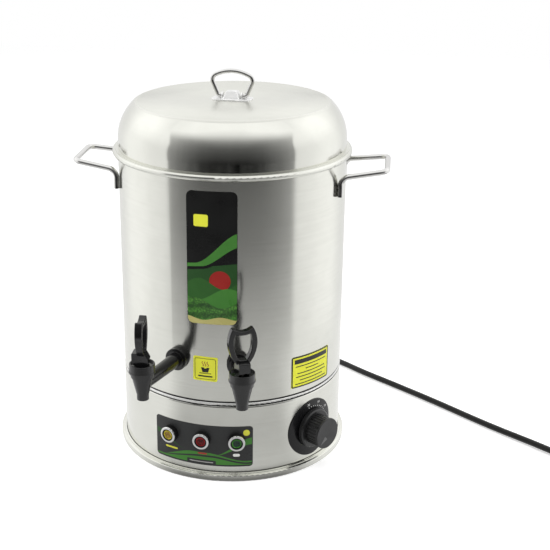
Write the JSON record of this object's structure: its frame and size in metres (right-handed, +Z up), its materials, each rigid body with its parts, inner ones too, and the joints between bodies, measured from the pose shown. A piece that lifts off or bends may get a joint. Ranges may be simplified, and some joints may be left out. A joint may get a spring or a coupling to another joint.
{
  "type": "electric samovar",
  "caption": "Electric tea urn with a steel water tank, a brew pot hung inside it, a domed lid with a bail, side handles, lever taps, indicator lamps and a thermostat dial.",
  "frame": {"origin": "centre of the foot circle, on the counter under the tank's axis", "axes": "+Z up along the tank's axis, -Y to the front between the taps, +X to the right side handle"},
  "size_m": [0.7299, 0.4698, 0.4795],
  "materials": {
    "stainless": "bright satin",
    "bright_rod": "polished",
    "bright_chrome": "polished",
    "plain_steel": "plain",
    "heater_sheath": "dull",
    "brass": "plain",
    "copper_tube": "drawn",
    "black_gloss": "gloss",
    "black_matte": "matte",
    "moulding_brown": "matte",
    "moulding_white": "matte",
    "dial_black": "satin",
    "label_grey": "satin",
    "sticker_pale": "satin",
    "sticker_yellow": "satin",
    "lens_yellow": "clear gloss",
    "lens_red": "clear gloss",
    "lens_green": "clear gloss",
    "silicone": "soft matte",
    "cord_black": "soft satin",
    "tie_black": "matte"
  },
  "bodies": {
    "urn": {"base_ring": "stainless", "bottom_plate": "stainless", "tie_stud": "plain_steel", "tie_nut": "plain_steel", "tank_shell": "stainless", "tank_bottom": "stainless", "side_handle_left": "bright_rod", "side_handle_right": "bright_rod", "heater_element": "heater_sheath", "heater_gaskets": "silicone", "heater_nuts": "brass", "cutout_thermostat": "plain_steel", "thermostat_body": "moulding_brown", "thermostat_probe": "copper_tube", "thermostat_screws": "plain_steel", "dial_plate": "dial_black", "lamp_housings": "black_matte", "lamp_bezels": "bright_chrome", "lamp_lens_yellow": "lens_yellow", "lamp_lens_red": "lens_red", "lamp_lens_green": "lens_green", "lamp_nuts": "black_matte", "terminal_block": "moulding_white", "control_label": "label_grey", "front_sticker": "sticker_pale", "square_sticker": "sticker_yellow", "wide_sticker": "sticker_yellow", "tea_elbow": "black_matte", "tea_socket_seal": "silicone", "tap_outer_gaskets": "silicone", "tap_inner_gaskets": "silicone", "tap_locknuts": "black_matte", "cord_gland": "cord_black", "power_cord": "cord_black", "cord_coil": "cord_black", "cord_tie": "tie_black", "plug_body": "cord_black", "plug_pins": "bright_chrome", "tea_tap_body": "black_gloss", "tea_tap_bonnet": "black_gloss", "water_tap_body": "black_gloss", "water_tap_bonnet": "black_gloss"},
    "brew_pot": {"brew_pot": "stainless", "tea_strainer": "stainless"},
    "lid": {"lid_shell": "stainless", "lid_bracket": "bright_chrome"},
    "lid_bail": {"lid_bail": "bright_rod"},
    "thermostat_dial": {"thermostat_knob": "black_gloss", "thermostat_shaft": "plain_steel"},
    "tea_tap_valve": {"tea_tap_stem": "plain_steel", "tea_tap_pivot_pin": "plain_steel", "tea_tap_seat_cup": "silicone"},
    "tea_tap_lever": {"tea_tap_lever": "black_gloss"},
    "water_tap_valve": {"water_tap_stem": "plain_steel", "water_tap_pivot_pin": "plain_steel", "water_tap_seat_cup": "silicone"},
    "water_tap_lever": {"water_tap_lever": "black_gloss"}
  },
  "joints": [
    {"name": "brew_pot_lift", "type": "slide", "parent": "urn", "child": "brew_pot", "axis": [0, 0, 1], "range_m": [0, 0.2]},
    {"name": "lid_lift", "type": "slide", "parent": "brew_pot", "child": "lid", "axis": [0, 0, 1], "range_m": [0, 0.15]},
    {"name": "lid_bail_fold", "type": "hinge", "parent": "lid", "child": "lid_bail", "pos_m": [0, 0, 0.4469], "axis": [0.9925, -0.1219, 0], "range_deg": [-85, 85]},
    {"name": "thermostat_turn", "type": "hinge", "parent": "urn", "child": "thermostat_dial", "pos_m": [0.11504, -0.08827, 0.0515], "axis": [0.7934, -0.6088, 0], "range_deg": [-270, 0]},
    {"name": "tea_tap_valve_lift", "type": "slide", "parent": "urn", "child": "tea_tap_valve", "axis": [0, 0, 1], "range_m": [0, 0.0037], "deforming": ["tea_tap_seat_cup"]},
    {"name": "tea_tap_lever_pull", "type": "hinge", "parent": "tea_tap_valve", "child": "tea_tap_lever", "pos_m": [-0.07374, -0.20939, 0.187], "axis": [0, -1, 0], "range_deg": [0, 60], "stiffness_Nm_per_rad": 0.05},
    {"name": "water_tap_valve_lift", "type": "slide", "parent": "urn", "child": "water_tap_valve", "axis": [0, 0, 1], "range_m": [0, 0.0037], "deforming": ["water_tap_seat_cup"]},
    {"name": "water_tap_lever_pull", "type": "hinge", "parent": "water_tap_valve", "child": "water_tap_lever", "pos_m": [0.0416, -0.21807, 0.187], "axis": [0.9135, 0.4067, 0], "range_deg": [0, 60], "stiffness_Nm_per_rad": 0.05}
  ],
  "couplings": [
    {"joint": "tea_tap_valve_lift", "follows": "tea_tap_lever_pull", "m_per_rad": 0.0035},
    {"joint": "water_tap_valve_lift", "follows": "water_tap_lever_pull", "m_per_rad": 0.0035}
  ]
}
